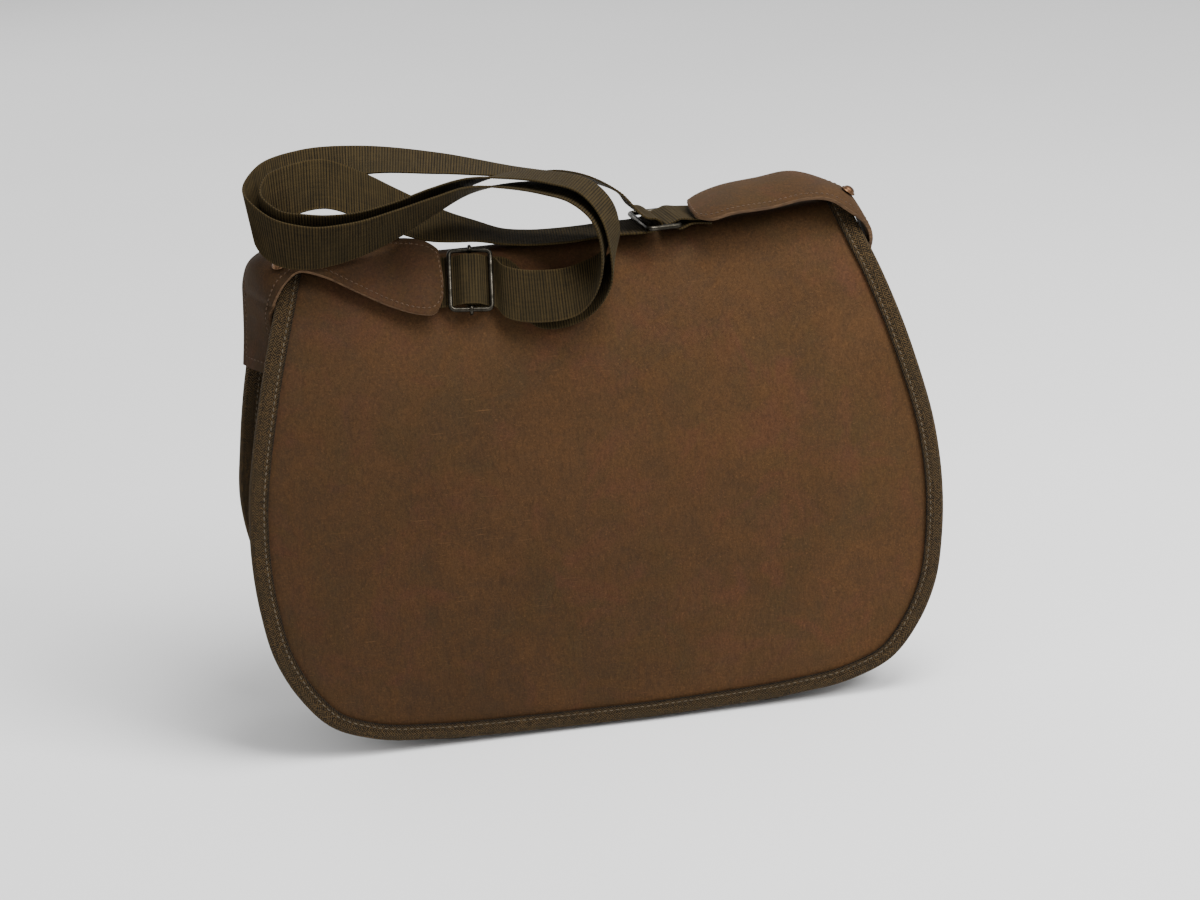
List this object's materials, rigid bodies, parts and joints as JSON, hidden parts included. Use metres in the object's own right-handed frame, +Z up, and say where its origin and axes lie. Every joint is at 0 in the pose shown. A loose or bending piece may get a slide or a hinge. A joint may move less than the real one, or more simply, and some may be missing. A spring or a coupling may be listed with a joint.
{
  "type": "hunting game bag",
  "caption": "Flat leather shoulder bag with a full-length flap edged in woven tape, riveted leather tabs, and a webbing strap doubled up on top through a slider and a ring.",
  "frame": {"origin": "middle of the flat base, on the surface that the bag stands on", "axes": "+X to the bag's right as it is seen from the front, along its width; -Y the front, where the flap hangs; +Z up"},
  "size_m": [0.409, 0.1105, 0.343],
  "materials": {
    "nubuck": "waxed nubuck leather, matt, dark brown",
    "gusset_cloth": "close-woven dark cloth, matt",
    "binding_tape": "herringbone cotton tape, brown",
    "webbing": "ribbed cotton webbing, olive brown",
    "dark_nickel": "antiqued dark nickel plate, worn bright on the edges",
    "old_brass": "dull aged brass"
  },
  "bodies": {
    "root": {"flap": "nubuck", "flap_binding": "binding_tape", "back_panel": "nubuck", "front_panel": "nubuck", "back_binding": "binding_tape", "front_binding": "binding_tape", "gusset": "gusset_cloth", "tab_left": "nubuck", "rivet_left": "old_brass", "tab_right": "nubuck", "rivet_right": "old_brass", "slider": "dark_nickel", "ring": "dark_nickel", "strap": "webbing", "tab_webbing": "webbing"}
  },
  "joints": []
}
